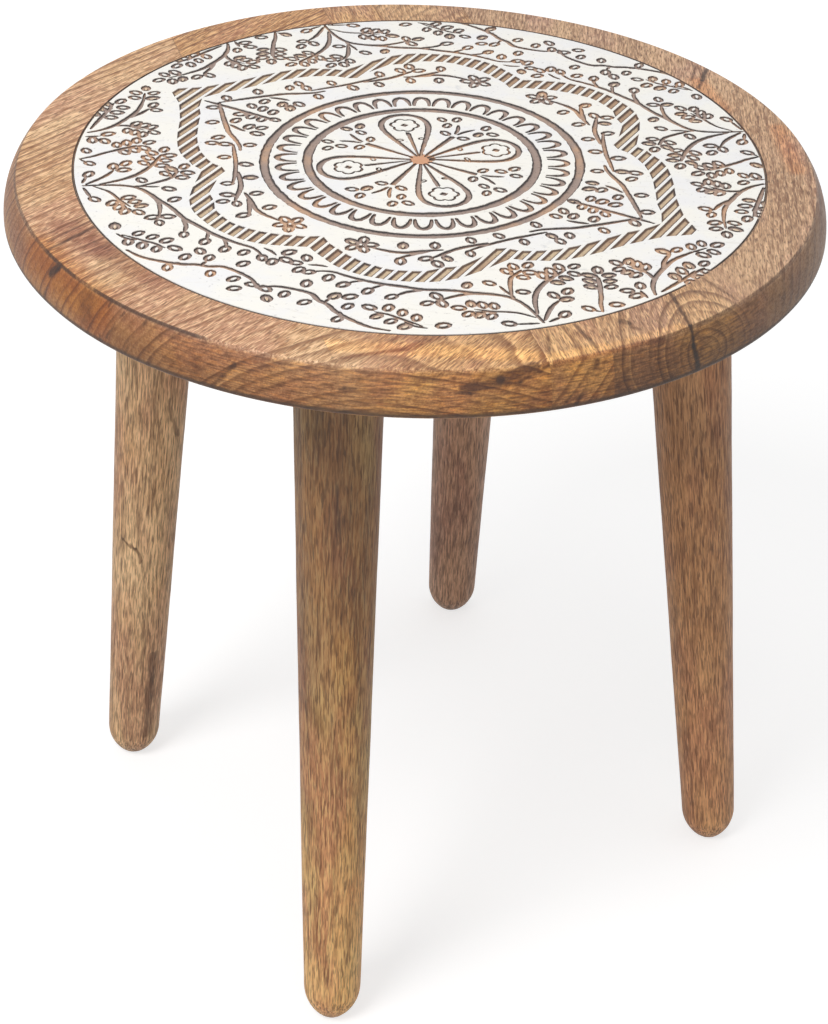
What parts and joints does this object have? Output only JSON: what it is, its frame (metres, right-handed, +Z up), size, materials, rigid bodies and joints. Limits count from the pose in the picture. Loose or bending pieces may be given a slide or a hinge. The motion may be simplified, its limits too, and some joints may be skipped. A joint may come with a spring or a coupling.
{
  "type": "low round side table",
  "caption": "Round low wooden table: thick board top with rounded edge and carved white-painted field, on splayed tapered turned legs that screw in.",
  "frame": {"origin": "on the floor, under the centre of the top", "axes": "+Z up; the front leg stands towards -Y and the right leg towards +X"},
  "size_m": [0.45, 0.45, 0.45],
  "materials": {
    "top_wood": "light oiled mango wood, satin",
    "leg_wood": "oiled mango wood, satin",
    "white_enamel": "white paint, hand rubbed, carved through to the wood",
    "zinc_steel": "zinc plated",
    "insert_brass": "plain brass"
  },
  "bodies": {
    "root": {"board_left_edge": "top_wood", "board_left": "top_wood", "board_centre": "top_wood", "board_right": "top_wood", "board_right_edge": "top_wood", "white_enamel_coat": "white_enamel", "leg_front": "leg_wood", "leg_right": "leg_wood", "leg_back": "leg_wood", "leg_left": "leg_wood", "hanger_bolt_front": "zinc_steel", "hanger_bolt_right": "zinc_steel", "hanger_bolt_back": "zinc_steel", "hanger_bolt_left": "zinc_steel", "threaded_insert_front": "insert_brass", "threaded_insert_right": "insert_brass", "threaded_insert_back": "insert_brass", "threaded_insert_left": "insert_brass"}
  },
  "joints": []
}
